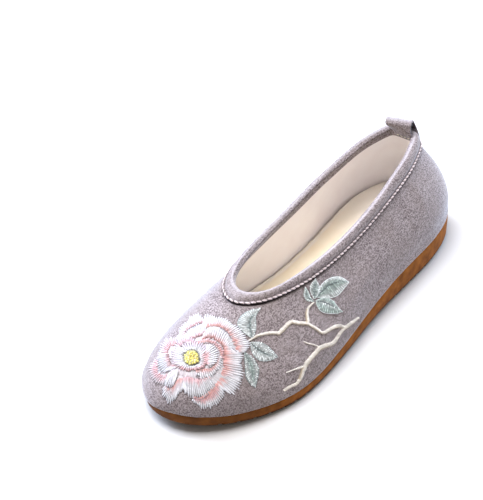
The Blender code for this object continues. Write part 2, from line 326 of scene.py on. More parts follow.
def cottonMaterial(name, dye):
    material, tree, shader = newMaterial(name, {
        "Roughness": 0.85, "Specular IOR Level": 0.2, "Sheen Weight": 0.15})
    coords = addNode(tree, "ShaderNodeTexCoord")
    clouds = addNode(tree, "ShaderNodeTexNoise", {"Scale": 1 / (cotton["cloudSize"] * mm), "Detail": 3.0},
                     {"Vector": coords.outputs["Object"]})
    share = addNode(tree, "ShaderNodeMapRange", dict(zip(rangeEnds, cotton["cloudRange"])),
                    {"Value": clouds.outputs[0]})
    tone = addNode(
        tree, "ShaderNodeMix", {"data_type": "RGBA", 6: linear(dye["dark"]), 7: linear(dye["light"])},
        {0: share.outputs[0]})
    # painted highlight, then painted shade, mixed over the cloth's colour
    for paintedLight in ("paintedHighlight", "shade"):
        amount = addNode(tree, "ShaderNodeAttribute", {"attribute_name": paintedLight})
        tone = addNode(tree, "ShaderNodeMix", {"data_type": "RGBA", 7: linear(dye[paintedLight])},
                       {0: amount.outputs["Fac"], 6: tone.outputs[2]})
    weave = addNode(tree, "ShaderNodeTexNoise", {"Scale": 1 / (dye["threadSpacing"] * mm), "Detail": 2.0},
                    {"Vector": coords.outputs["Object"]})
    bump = addNode(
        tree, "ShaderNodeBump", {"Strength": cotton["reliefStrength"], "Distance": cotton["relief"] * mm},
        {"Height": weave.outputs[0]})
    tree.links.new(tone.outputs[2], shader.inputs["Base Color"])
    tree.links.new(bump.outputs[0], shader.inputs["Normal"])
    return material


# Moulded gum rubber: amber brown, a little uneven and nearly matt, with painted shade along the lugs' ends
# and at the toe
rubber = {
    "dark": "#794615",
    "light": "#a56527",
    "shade": "#331a08",
    "cloudSize": 5.0,  # mm
    "cloudRange": (0.3, 0.7),
    "grainSize": 0.9,  # mm
    "relief": 0.12,
    "reliefStrength": 0.4,
    "lugShadeFrom": 0.30,  # cm above the lugs' ends, where the painted shade begins
    "lugShadeFull": 0.12,
    "lugShadeShare": 0.95,
}


def rubberMaterial():
    material, tree, shader = newMaterial("gum_rubber_moulded", {
        "Roughness": 0.75, "Specular IOR Level": 0.15})
    coords = addNode(tree, "ShaderNodeTexCoord")
    clouds = addNode(tree, "ShaderNodeTexNoise", {"Scale": 1 / (rubber["cloudSize"] * mm), "Detail": 4.0},
                     {"Vector": coords.outputs["Object"]})
    share = addNode(tree, "ShaderNodeMapRange", dict(zip(rangeEnds, rubber["cloudRange"])),
                    {"Value": clouds.outputs[0]})
    colour = addNode(
        tree, "ShaderNodeMix", {"data_type": "RGBA", 6: linear(rubber["dark"]), 7: linear(rubber["light"])},
        {0: share.outputs[0]})
    # Painted shade: dark near the lugs' ends, and at the toe front from the attribute shade
    height = addNode(tree, "ShaderNodeAttribute", {"attribute_name": "aboveLugs"})
    lugShade = addNode(tree, "ShaderNodeMapRange", {
        "From Min": rubber["lugShadeFull"], "From Max": rubber["lugShadeFrom"],
        "To Min": rubber["lugShadeShare"], "To Max": 0.0}, {"Value": height.outputs["Fac"]})
    front = addNode(tree, "ShaderNodeAttribute", {"attribute_name": "shade"})
    dull = addNode(tree, "ShaderNodeMath", {"operation": "MAXIMUM"},
                   {0: lugShade.outputs[0], 1: front.outputs["Fac"]})
    colour = addNode(tree, "ShaderNodeMix", {"data_type": "RGBA", 7: linear(rubber["shade"])},
                     {0: dull.outputs[0], 6: colour.outputs[2]})
    grain = addNode(tree, "ShaderNodeTexNoise", {"Scale": 1 / (rubber["grainSize"] * mm), "Detail": 3.0},
                    {"Vector": coords.outputs["Object"]})
    bump = addNode(
        tree, "ShaderNodeBump", {"Strength": rubber["reliefStrength"], "Distance": rubber["relief"] * mm},
        {"Height": grain.outputs[0]})
    tree.links.new(colour.outputs[2], shader.inputs["Base Color"])
    tree.links.new(bump.outputs[0], shader.inputs["Normal"])
    return material


# Rayon embroidery thread: bright, silky along its length, each stitch dyed by its own tint
def threadMaterial():
    material, tree, shader = newMaterial("rayon_thread", {
        "Roughness": 0.5, "Specular IOR Level": 0.35, "Sheen Weight": 0.1})
    tint = addNode(tree, "ShaderNodeAttribute", {"attribute_name": "threadTint"})
    tree.links.new(tint.outputs["Color"], shader.inputs["Base Color"])
    return material


slubLinen = linenMaterial()
# In each dye the third colour is a painted highlight and the fourth a painted shade.
liningCotton = cottonMaterial("cotton_lining", {
    "dark": "#f8f1f0", "light": "#fcf7f6", "paintedHighlight": "#fcf7f6", "shade": "#87797a", "threadSpacing": 0.9})
insoleCotton = cottonMaterial("cotton_insole", {
    "dark": "#fbecce", "light": "#fef4da", "paintedHighlight": "#fff8ea", "shade": "#b8a48f", "threadSpacing": 1.1})
gumRubber = rubberMaterial()
rayonThread = threadMaterial()
print("materials made")


# The binding's cut edges come first, because the cloth under them is drawn in by the seam

binding = {
    "levels": 2,
    "sharpAngle": 60,  # degrees, finds the strip's cut edges
    "widest": 1.2,  # mm, longer edges across the strip are split
    "acrossLimit": 0.5,  # cosine, below it an edge runs across
    "edgePoints": 2400,
    "skinRange": (0.3, 0.7),  # mm from the cloth below, where the strip's own skin starts
    "innerRaise": 3.4,  # mm, how far the inner edge is drawn up
    "raiseRange": (0.2, 6.5),  # mm from that edge, where the pull fades out
    "climbWindow": 81,  # edge points, evens it out
    "puff": 0.65,  # mm, the wadding in the fold
    "puffRange": (1.2, 3.4),  # mm from the cut edges
    "lip": 0.15,  # mm, along the cut edges
    "lipAt": 0.5,
    "pinch": 0.35,  # mm, how deep the seam draws it in
    "pinchWidth": 0.7,
    "highlightShare": 0.45,
    "highlightRange": (0.92, 1.0),  # how far a face looks up
    "cutShade": 0.85,
    "cutShadeWidth": 0.55,  # mm
    "stitchShade": 0.25,
    "stitchShadeWidth": 0.6,
    "stitchUp": 1.3,  # mm from the lower cut edge
    "stitchPitch": 3.0,
    "stitchLength": 2.85,
    "stitchSlant": 0.55,  # mm, each stitch climbs as it goes
    "stitchHalfWidth": 0.52,
    "stitchLift": 0.30,
    "stitchTint": "#e3d3d2",
    "stitchSpread": 0.08,  # share, from stitch to stitch
    "outwardLean": 0.3,  # share of the length, the rest of outward is sideways
}


def cutEdges(bm, angle):  # closed rows of points along the sharp edges, shortest row first
    bm.edges.index_update()
    sharp = {e for e in bm.edges if len(e.link_faces) == 2 and e.calc_face_angle() > angle}
    rows = []
    while sharp:
        edge = min(sharp, key=lambda e: e.index)  # the same start on every run
        sharp.discard(edge)
        row = [edge.verts[0], edge.verts[1]]
        while True:
            ahead = [e for e in row[-1].link_edges if e in sharp]
            if not ahead:
                break
            sharp.discard(ahead[0])
            row.append(ahead[0].other_vert(row[-1]))
        rows.append(np.array([vert.co for vert in row]))
    return sorted(rows, key=pathLength)


bindingCopy = copyNode("topline_binding")
cutRows = cutEdges(bindingCopy, math.radians(binding["sharpAngle"]))
print("binding rows", [(len(row), round(pathLength(row) / mm)) for row in cutRows])
innerEdge, lowerEdge = cutRows[0], cutRows[-1]


# Upper, cloth outside and lining inside

upper = {
    "axisFront": -80,  # mm, the ends and height of a line through the foot's middle
    "axisBack": 80,
    "axisHeight": 25,
    "levels": 2,
    "seamPoints": 1200,
    "seamBand": 3.2,  # mm, cloth this near a seam gets a finer mesh
    "seamDepth": 0.75,
    "seamWidth": 0.8,
    "seamSwell": 0.3,
    "swellAt": 2.8,
    "swellWidth": 1.4,
    "seamShade": (0.2, 0.85),  # mm, its place and width
    "lapOut": 1.2,  # mm, the cloth laps over the sole's edge
    "lapDown": 0.9,
    "lapBand": (0.3, 5.5),  # mm from the sole
    "steepest": 0.2,  # cloth that looks up more than this laps less
    "toeLapOut": 1.0,  # mm, more of it at the big toe
    "toeLapDown": 1.4,
    "bigToeAhead": (60, 95),  # mm towards the toe
    "bigToeIn": (-5, 15),  # mm towards the big-toe side
    "soleShade": (0.6, 0.7),  # share, and width in mm
    "backPoints": 200,
    "backSeamDepth": 0.3,  # mm
    "backSeamWidth": 0.8,
    "backShade": (0.5, 0.5),  # share, and width in mm
    "toeShade": 0.28,  # share, painted shade on the front of the toe
    "shadeAhead": (70, 105),  # mm towards the toe
    "shadeOut": (-30, 0),  # mm towards the little-toe side
    "shadeAbove": (8, 30),  # mm up
    "unevenness": 0.16,  # mm
    "unevenSize": 14,
    "farOff": 20,  # mm, past the reach of every seam
    "creasePoints": 40,
    "castFrom": -200,  # mm, creases of the big-toe side are cast from here
}
# Soft folds and puckers: the side they are cast from, their points (px for the photograph's side, else
# y and z in mm), height in mm (a trough is below 0) and width in mm
creases = [
    ("photo", [(281, 338), (293, 341), (305, 341.5), (318, 340)], -0.48, 2.2),
    ("photo", [(283, 343.5), (296, 347), (309, 349.5)], 0.45, 2.2),
    ("photo", [(281, 350), (293, 354), (304, 356)], -0.45, 2.2),
    ("photo", [(284, 358), (292, 361), (300, 361)], 0.35, 2.4),
    ("photo", [(322, 322), (333, 318), (345, 313)], -0.40, 2.4),
    ("photo", [(262, 322), (274, 317), (288, 312)], 0.40, 2.6),
    ("photo", [(262, 372), (272, 380), (278, 392)], -0.45, 2.8),
    ("photo", [(243, 396), (256, 397), (268, 394)], 0.40, 2.6),
    ("photo", [(350, 296), (360, 288), (372, 270)], 0.48, 3.4),
    ("photo", [(358, 300), (370, 286), (384, 266)], -0.48, 3.6),
    ("photo", [(392, 200), (404, 216), (414, 236)], -0.42, 4.0),
    ("photo", [(408, 176), (419, 194), (428, 214)], 0.42, 4.2),
    ("inner", [(-44, 36), (-20, 30), (8, 24)], -0.56, 4.0),
    ("inner", [(-38, 28), (-14, 24), (10, 20)], 0.48, 4.0),
    ("inner", [(30, 46), (52, 36), (70, 24)], -0.56, 4.5),
    ("inner", [(62, 52), (78, 40), (90, 28)], 0.48, 4.5),
]


def facesIn(face):
    centre = face.calc_center_median()
    along = max(upper["axisFront"] * mm, min(upper["axisBack"] * mm, centre.y))
    return face.normal.dot(centre - Vector((0, along, upper["axisHeight"] * mm))) < 0


def walkLoop(edge, vert):  # follows a row of edges straight on through a grid of quads
    loop = [edge]
    verts = [edge.other_vert(vert), vert]
    while True:
        ahead = [e for e in verts[-1].link_edges if not set(e.link_faces) & set(loop[-1].link_faces)]
        if len(ahead) != 1 or ahead[0] == loop[0]:
            return verts[1:]
        loop.append(ahead[0])
        verts.append(ahead[0].other_vert(verts[-1]))


def sightLine(pixel):
    x, y = pixel
    sight = cameraTurn @ Vector((x - photo["size"][0] / 2, photo["size"][1] / 2 - y, -photo["focal"]))
    return cameraEye, sight.normalized()


def castCrease(tree, side, path):
    spots = []
    for a, b in smoothPath(path, upper["creasePoints"]):
        if side == "photo":
            start, direction = sightLine((a, b))
        else:  # from the big-toe side
            start, direction = Vector((upper["castFrom"], a, b)) * mm, Vector((1, 0, 0))
        spot = tree.ray_cast(start, direction)[0]
        if spot:
            spots.append(spot)
    return np.array(spots)


bm = copyNode("upper")
for face in bm.faces:
    face.material_index = 1 if facesIn(face) else 0
backVert = max(bm.verts, key=lambda vert: vert.co.y)
upEdge = max(backVert.link_edges,
             key=lambda edge: (edge.other_vert(backVert).co - backVert.co).normalized().z)
backVerts = walkLoop(upEdge, upEdge.other_vert(backVert))
backLine = np.array([vert.co for vert in backVerts])
upperPiece = newPiece("upper_cloth", bm, [slubLinen, liningCotton], "upper")
modify(upperPiece, "SUBSURF", {"levels": upper["levels"], "render_levels": upper["levels"]})

smoothTree = surfaceTree(upperPiece.data)
lift = Vector((0, 0, binding["innerRaise"] * mm))
outerSeam = np.array([smoothTree.find_nearest(Vector(p))[0]
                      for p in evenPoints(lowerEdge, upper["seamPoints"])])
innerSeam = np.array([smoothTree.find_nearest(Vector(p) + lift)[0]
                      for p in evenPoints(innerEdge, upper["seamPoints"])])
bm = bmesh.new()
bm.from_mesh(upperPiece.data)
points = np.array([vert.co for vert in bm.verts])
seamNear = np.minimum(nearLine(outerSeam, points)[0], nearLine(innerSeam, points)[0]) < upper["seamBand"] * mm
bm.verts.index_update()
bmesh.ops.subdivide_edges(
    bm, edges=[edge for edge in bm.edges if all(seamNear[vert.index] for vert in edge.verts)],
    cuts=1, use_grid_fill=True)
bm.to_mesh(upperPiece.data)
bm.free()

mesh = upperPiece.data
points, normals = meshPoints(mesh), meshPoints(mesh, "normal")
outside = np.zeros(len(points), bool)
for face in mesh.polygons:
    if face.material_index == 0:
        outside[list(face.vertices)] = True
seamGap = np.where(outside, nearLine(outerSeam, points)[0], nearLine(innerSeam, points)[0]) / mm
soleTree = surfaceTree(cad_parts["outsole"].data)
soleGap = np.where(outside, nearSurface(soleTree, points) / mm, upper["farOff"])
backPoints = evenPoints(backLine, upper["backPoints"])
backGap = np.where(outside, nearLine(backPoints, points)[0] / mm, upper["farOff"])
rise = -upper["seamDepth"] * hump(seamGap, upper["seamWidth"])
rise += upper["seamSwell"] * hump(seamGap - upper["swellAt"], upper["swellWidth"])
rise -= upper["backSeamDepth"] * hump(backGap, upper["backSeamWidth"])
for side, path, height, width in creases:
    gap, share = nearLine(castCrease(smoothTree, side, path), points)
    rise += np.where(outside, height * hump(gap / mm, width) * np.sin(share * math.pi) ** 0.5, 0)
rise += upper["unevenness"] * np.array([noise.noise(Vector(p) / (upper["unevenSize"] * mm)) for p in points])
lap = (1 - ease(soleGap, *upper["lapBand"])) * outside
level = normals * np.array([1, 1, 0])
level /= np.maximum(np.linalg.norm(level, axis=1, keepdims=True), upper["steepest"])
bigToe = ease(-points[:, 1] / mm, *upper["bigToeAhead"]) * ease(-points[:, 0] / mm, *upper["bigToeIn"])
shift = normals * rise[:, None] + level * ((upper["lapOut"] + upper["toeLapOut"] * bigToe) * lap)[:, None]
shift[:, 2] -= (upper["lapDown"] + upper["toeLapDown"] * bigToe) * lap**2
movePoints(mesh, points + shift * mm)
# Painted shade: low on the front of the toe, and along the seams, the sole and the back seam
front = (ease(-points[:, 1] / mm, *upper["shadeAhead"]) * ease(points[:, 0] / mm, *upper["shadeOut"])
         * (1 - ease(points[:, 2] / mm, *upper["shadeAbove"])) * outside)
paintPoints(mesh, "shade", np.maximum.reduce([
    hump(seamGap - upper["seamShade"][0], upper["seamShade"][1]),
    upper["soleShade"][0] * hump(soleGap, upper["soleShade"][1]),
    upper["backShade"][0] * hump(backGap, upper["backShade"][1]),
    upper["toeShade"] * front]))
clothTree = surfaceTree(mesh)
print("upper faces", len(mesh.polygons))


# Topline binding, a padded roll
bm = bindingCopy
runs = np.gradient(lowerEdge, axis=0)
edgeTree = KDTree(len(lowerEdge))
for k, point in enumerate(lowerEdge):
    edgeTree.insert(point, k)
edgeTree.balance()
acrossEdges = []
for edge in bm.edges:
    start, end = (vert.co for vert in edge.verts)
    run = Vector(runs[edgeTree.find((start + end) / 2)[1]]).normalized()
    slant = abs((end - start).normalized().dot(run))
    if (end - start).length > binding["widest"] * mm and slant < binding["acrossLimit"]:
        acrossEdges.append(edge)
bmesh.ops.subdivide_edges(bm, edges=acrossEdges, cuts=1, use_grid_fill=True)
bindingPiece = newPiece("topline_binding_cloth", bm, [slubLinen], "topline_binding")
modify(bindingPiece, "SUBSURF", {"levels": binding["levels"], "render_levels": binding["levels"]})
mesh = bindingPiece.data
points, normals = meshPoints(mesh), meshPoints(mesh, "normal")
innerPoints = evenPoints(innerEdge, binding["edgePoints"])
outerGap = nearLine(evenPoints(lowerEdge, binding["edgePoints"]), points)[0] / mm
innerGap, innerShare = nearLine(innerPoints, points)
innerGap = innerGap / mm
cutGap = np.minimum(outerGap, innerGap)
stitchGap = outerGap - binding["stitchUp"]
skin = ease(nearSurface(smoothTree, points) / mm, *binding["skinRange"])
rise = skin * (binding["puff"] * ease(cutGap, *binding["puffRange"])
               + binding["lip"] * hump(cutGap - binding["lipAt"], binding["lipAt"])
               - binding["pinch"] * hump(stitchGap, binding["pinchWidth"]))
# the inner side is drawn up along the lining
climbs = np.array([smoothTree.find_nearest(Vector(p) + lift)[0] - smoothTree.find_nearest(Vector(p))[0]
                   for p in innerPoints])
wrap = binding["climbWindow"]  # the row is a ring, so it is evened out across its ends as well
climbs = np.stack([np.convolve(np.r_[c[-wrap:], c, c[:wrap]], np.ones(wrap) / wrap, "same")[wrap:-wrap]
                   for c in climbs.T], axis=-1)
places = np.rint(innerShare * (len(innerPoints) - 1)).astype(int)
points += climbs[places] * (1 - ease(innerGap, *binding["raiseRange"]))[:, None]
movePoints(mesh, points + normals * rise[:, None] * mm)
# painted highlight on the top of the roll, where faces look up; painted shade at the cut edges and under the
# stitches
paintPoints(mesh, "paintedHighlight", skin * binding["highlightShare"] * ease(normals[:, 2], *binding["highlightRange"]))
paintPoints(mesh, "shade", np.maximum(
    binding["cutShade"] * hump(cutGap, binding["cutShadeWidth"]),
    binding["stitchShade"] * hump(stitchGap, binding["stitchShadeWidth"])))
bindingTree = surfaceTree(mesh)
print("binding faces", len(mesh.polygons))


# Pull loop, a doubled strip of the cloth folded over the binding
pullLoop = {
    # mm, y and z of its outer face, from the inner edge over the top to the outer edge
    "profile": [(93.1, 65.4), (92.2, 67.8), (90.5, 71.2), (89.0, 74.2), (88.6, 76.3), (89.8, 77.7),
                (92.0, 78.1), (94.6, 77.2), (96.4, 75.0), (97.7, 72.4), (98.8, 70.0), (99.9, 67.4),
                (101.0, 64.6), (102.5, 60.4)],
    "profilePoints": 200,
    "steps": 72,
    "across": 18,
    "cloth": 1.0,  # mm
    "edgeCrease": 0.85,
    "levels": 1,
    "narrow": 0.88,
    "taper": 0.36,  # share, the ends are cut narrower
    "taperAbove": 2,  # mm above the ends
    "shift": -1.5,  # mm, how far the top leans
    "twist": 20,  # degrees
    "twistBelow": (9, 1),  # mm under the top, where the twist starts and is full
    "dull": 0.08,
    "insideShade": 0.9,
    "insideBelow": (8.5, 6.5),  # mm under the top
    "highlightShare": 0.3,
    "highlightRange": (0.8, 1.0),  # how far a face looks up
    "stitchUp": 1.4,  # mm
    "stitchInset": 1.0,
    "stitchGaps": (0.3, 0.5),
    "stitchCount": 4,
    "stitchHalfWidth": 0.36,
    "stitchLift": 0.2,
    "stitchTint": "#efe6cf",
    "stitchSpread": 0.05,  # share, from stitch to stitch
    "castFrom": ((-0.2, 1), (0.3, -1)),  # m, the y that each leg is seen from, and which way
}
loopLow, loopHigh = (np.array(corner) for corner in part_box("pull_loop"))
loopMiddle = (loopLow + loopHigh) / 2
bm = bmesh.new()
bmesh.ops.create_grid(bm, x_segments=pullLoop["across"], y_segments=pullLoop["steps"], size=0.5)
loopPiece = newPiece("pull_loop_cloth", bm, [slubLinen], "pull_loop")
share = meshPoints(loopPiece.data) + 0.5
profile = smoothPath(pullLoop["profile"], pullLoop["profilePoints"]) * mm
y, z = (np.interp(share[:, 1], np.linspace(0, 1, len(profile)), profile[:, k]) for k in (0, 1))
free = ease(z, *(loopHigh[2] - below * mm for below in pullLoop["twistBelow"]))
ends = 1 - ease(z, loopLow[2] + pullLoop["taperAbove"] * mm, loopHigh[2])
across = loopHigh[0] - (loopHigh[0] - loopLow[0]) * (1 - share[:, 0]) * (1 - pullLoop["taper"] * ends)
x = (across - loopMiddle[0]) * pullLoop["narrow"] + pullLoop["shift"] * free * mm
y -= loopMiddle[1]
turn = free * math.radians(pullLoop["twist"])
movePoints(loopPiece.data, np.stack([loopMiddle[0] + x * np.cos(turn) - y * np.sin(turn),
                                     loopMiddle[1] + x * np.sin(turn) + y * np.cos(turn), z], axis=-1))
modify(loopPiece, "SOLIDIFY", {
    "thickness": pullLoop["cloth"] * mm, "offset": -1.0,
    "edge_crease_inner": pullLoop["edgeCrease"], "edge_crease_outer": pullLoop["edgeCrease"]})
modify(loopPiece, "SUBSURF", {"levels": pullLoop["levels"], "render_levels": pullLoop["levels"]})
mesh = loopPiece.data
loopPoints, normals = meshPoints(mesh), meshPoints(mesh, "normal")
hollow = np.einsum("ij,ij->i", normals[:, 1:], (loopPoints - loopMiddle)[:, 1:]) < 0
inside = hollow * ease(loopPoints[:, 2], *(loopHigh[2] - below * mm for below in pullLoop["insideBelow"]))
# Painted shade inside the loop's hollow and an even slight darkening over the strip; a painted highlight
# where faces look up
paintPoints(mesh, "shade", np.maximum(pullLoop["insideShade"] * inside, pullLoop["dull"]))
paintPoints(mesh, "paintedHighlight", pullLoop["highlightShare"] * ease(normals[:, 2], *pullLoop["highlightRange"]) * ~hollow)
print("loop faces", len(mesh.polygons))


# Insole, a thin foam pad under cotton, with a rolled edge
insole = {
    "voxel": 1.4,  # mm
    "smoothing": 8,  # rounds
    "smoothShare": 0.5,
    "topRange": (0.2, 0.7),  # how far a face looks up
    "wallReach": 0.05,  # m
    "reach": 1.3,  # mm, out to the lining
    "rimRoll": 0.45,
    "rimAt": 2.4,
    "rimWidth": 1.5,
    "edgeDrop": 0.6,
    "edgeWidth": 0.9,
    "crown": 0.5,
    "crownRange": (4, 24),  # mm from the wall
    "heelLift": 4.0,  # mm, the foam is thicker under the heel
    "heelRange": (25, 90),  # mm towards the heel
    "highlightRange": (3.4, 4.6),  # mm from the wall
    "edgeShade": 0.6,
    "shadeAt": 0.3,  # mm from the wall
    "shadeWidth": 0.5,
}
bm = copyNode("insole")
insolePiece = newPiece("insole_pad", bm, [insoleCotton], "insole")
modify(insolePiece, "REMESH", {"mode": "VOXEL", "voxel_size": insole["voxel"] * mm})
bm = bmesh.new()
bm.from_mesh(insolePiece.data)
for step in range(insole["smoothing"]):
    bmesh.ops.smooth_vert(bm, verts=bm.verts[:], factor=insole["smoothShare"],
                          use_axis_x=True, use_axis_y=True, use_axis_z=True)
bm.to_mesh(insolePiece.data)
bm.free()
mesh = insolePiece.data
points, normals = meshPoints(mesh), meshPoints(mesh, "normal")
wallGap = nearSurface(clothTree, points, insole["wallReach"]) / mm
top = ease(normals[:, 2], *insole["topRange"])
side = (1 - np.abs(normals[:, 2:])) * normals * np.array([1, 1, 0])
points = points + side * insole["reach"] * mm
heel = ease(points[:, 1] / mm, *insole["heelRange"])
rise = top * (insole["rimRoll"] * hump(wallGap - insole["rimAt"], insole["rimWidth"])
              - insole["edgeDrop"] * hump(wallGap, insole["edgeWidth"])
              + insole["crown"] * ease(wallGap, *insole["crownRange"]) + insole["heelLift"] * heel)
movePoints(mesh, points + np.array([0, 0, mm]) * rise[:, None])
# Painted highlight along the edge by the wall and over the heel; painted shade right at the wall
paintPoints(mesh, "paintedHighlight", top * np.maximum(1 - ease(wallGap, *insole["highlightRange"]), heel))
paintPoints(mesh, "shade", insole["edgeShade"] * hump(wallGap - insole["shadeAt"], insole["shadeWidth"]))
print("insole faces", len(mesh.polygons))


# Outsole, with the mould's softened edges
outsole = {
    "sharpAngle": 50,  # degrees
    "edge": 0.35,  # mm
    "edgeSegments": 2,
    "lugReach": 6,  # mm, a lug's end is found within this
    "lugStep": 12,  # every so many points
    "heightUnit": 10,  # mm, so that heights are painted in cm
    "toeShade": 0.6,  # share
    "shadeAhead": (50, 105),  # mm towards the toe
}
bm = copyNode("outsole")
sharpEdges = [e for e in bm.edges
              if len(e.link_faces) == 2 and e.calc_face_angle() > math.radians(outsole["sharpAngle"])]
bmesh.ops.bevel(bm, geom=sharpEdges, affect="EDGES", offset=outsole["edge"] * mm,
                segments=outsole["edgeSegments"], profile=0.5, material=-1, clamp_overlap=True)
outsolePiece = newPiece("outsole_rubber", bm, [gumRubber], "outsole")
mesh = outsolePiece.data
points = meshPoints(mesh)
# heights above the lugs' ends, read by the rubber's painted shade
stations = np.sort(points[:, 1])[::outsole["lugStep"]]
low = [points[np.abs(points[:, 1] - y) < outsole["lugReach"] * mm, 2].min() for y in stations]
aboveLugs = points[:, 2] - np.interp(points[:, 1], stations, low)
paintPoints(mesh, "aboveLugs", aboveLugs / (outsole["heightUnit"] * mm))
# painted shade over the front of the toe
paintPoints(mesh, "shade", outsole["toeShade"] * ease(-points[:, 1] / mm, *outsole["shadeAhead"]))
print("outsole faces", len(mesh.polygons))


# Thread work: every stitch is a slim closed strand that arches over the cloth

thread = {
    "rings": 6,
    "tips": (0.04, 0.96),  # shares of a half turn, so that the ends keep some width
    "arch": 0.6,  # powers, a strand arches and fills out soon after its ends
    "fill": 0.28,
    "rise": 0.85,  # shares of the half width
    "belly": 0.45,
}


def strand(points, normals, halfWidth, lift, tints):
    return {"points": points, "normals": normals, "halfWidth": halfWidth, "lift": lift, "tints": tints}


def threadPiece(name, strands):
    bm = bmesh.new()  # one square strand, copied for every stitch and then laid along it
    bmesh.ops.create_cone(bm, cap_ends=True, segments=4, radius1=1, radius2=1, depth=1)
    longEdges = [edge for edge in bm.edges if edge.verts[0].co.z * edge.verts[1].co.z < 0]
    bmesh.ops.subdivide_edges(bm, edges=longEdges, cuts=thread["rings"] - 2, use_grid_fill=True)
    piece = newPiece(name, bm, [rayonThread])
    shape = meshPoints(piece.data)
    ring = np.rint((shape[:, 2] + 0.5) * (thread["rings"] - 1)).astype(int)
    sideways, upward = shape[:, :1], shape[:, 1:2]
    upward = upward * np.where(upward > 0, thread["rise"], thread["belly"])
    modify(piece, "ARRAY", {"count": len(strands), "use_relative_offset": False})
    points, normals, halfWidth, lift, tints = (
        np.array([s[key] for s in strands]) for key in ("points", "normals", "halfWidth", "lift", "tints"))
    share = np.sin(np.linspace(*thread["tips"], thread["rings"]) * math.pi)[None, :, None]
    side = np.cross(normals, np.gradient(points, axis=1))
    side /= np.linalg.norm(side, axis=2, keepdims=True)
    centre = points + normals * lift[:, None, None] * share**thread["arch"]
    width = halfWidth[:, None, None] * share**thread["fill"]
    laid = centre[:, ring] + width[:, ring] * (side[:, ring] * sideways + normals[:, ring] * upward)
    movePoints(piece.data, laid.reshape(-1, 3))
    colour = piece.data.attributes.new("threadTint", "FLOAT_COLOR", "POINT")
    colour.data.foreach_set("color", tints[:, ring].reshape(-1))
    print("stitches", len(strands))


def flatTint(hexColour, spread=0.0):
    tint = np.array(linear(hexColour))
    tint[:3] *= 1 + rng.uniform(-spread, spread)
    return np.tile(tint, (thread["rings"], 1))


# Seam stitches round the binding
seamLine = []
for point, ahead in zip(lowerEdge[:-1], lowerEdge[1:]):
    for share in (0, 0.5):
        place = Vector(point + share * (ahead - point))
        outward = Vector((place.x, place.y * binding["outwardLean"], 0)).normalized()
        up = Vector(ahead - point).normalized().cross(outward)
        up *= 1 if up.z > 0 else -1
        seamLine.append(bindingTree.find_nearest(place + up * binding["stitchUp"] * mm + outward * mm)[0])
seamLine = np.array(seamLine)
seamCount = round(pathLength(seamLine) / (binding["stitchPitch"] * mm))
seamPoints = evenPoints(np.vstack([seamLine, seamLine[:1]]), seamCount * thread["rings"] * 2)
strands = []
for k in range(seamCount):
    first = k * thread["rings"] * 2
    length = int(thread["rings"] * 2 * binding["stitchLength"] / binding["stitchPitch"])
    row = evenPoints(seamPoints[first:first + length], thread["rings"])
    normals = np.array([bindingTree.find_nearest(Vector(point))[1] for point in row])
    run = row[-1] - row[0]
    climb = np.cross(normals[0], run / np.linalg.norm(run))
    climb *= 1 if climb[2] > 0 else -1
    row = row + climb * np.linspace(-0.5, 0.5, thread["rings"])[:, None] * binding["stitchSlant"] * mm
    strands.append(strand(row, normals, binding["stitchHalfWidth"] * mm, binding["stitchLift"] * mm,
                          flatTint(binding["stitchTint"], binding["stitchSpread"])))
threadPiece("seam_stitches", strands)

# Stitches across both ends of the pull loop
loopTree = surfaceTree(loopPiece.data)
strands = []
inset = pullLoop["stitchInset"] * mm
gapBefore, gapAfter = (gap * mm for gap in pullLoop["stitchGaps"])
for start, direction in pullLoop["castFrom"]:
    leg = loopPoints[(loopPoints[:, 1] - loopMiddle[1]) * direction < 0]
    level = leg[:, 2].min() + pullLoop["stitchUp"] * mm
    reach = leg[leg[:, 2] < level + inset, 0]
    stitchEnds = np.linspace(reach.min() + inset, reach.max() - inset, pullLoop["stitchCount"] + 1)
    for left, right in zip(stitchEnds, stitchEnds[1:]):
        hits = [loopTree.ray_cast(Vector((x, start, level)), Vector((0, direction, 0)))
                for x in np.linspace(left + gapBefore, right - gapAfter, thread["rings"])]
        strands.append(strand(
            np.array([hit[0] for hit in hits]), np.array([hit[1] for hit in hits]),
            pullLoop["stitchHalfWidth"] * mm, pullLoop["stitchLift"] * mm,
            flatTint(pullLoop["stitchTint"], pullLoop["stitchSpread"])))
threadPiece("loop_stitches", strands)


# Flower spray in satin stitch. Its lines are laid out in pixels of the photograph and cast from its
# camera onto the cloth, so every strand lies on the upper.

flowerTints = {
    "white": "#f6f5f9",
    "blush": "#f3e6e9",
    "pink": "#f2c6c9",
    "salmon": "#e9b0a9",
    "lilac": "#e6dae4",
}
# Rows of strands: both ends as shares from rim to root, spacing and uneven ends in px, half width and
# height in mm, range of tone, and the share of strands left out
rowKeys = ("ends", "spacing", "fringe", "halfWidth", "height", "tone", "skip")
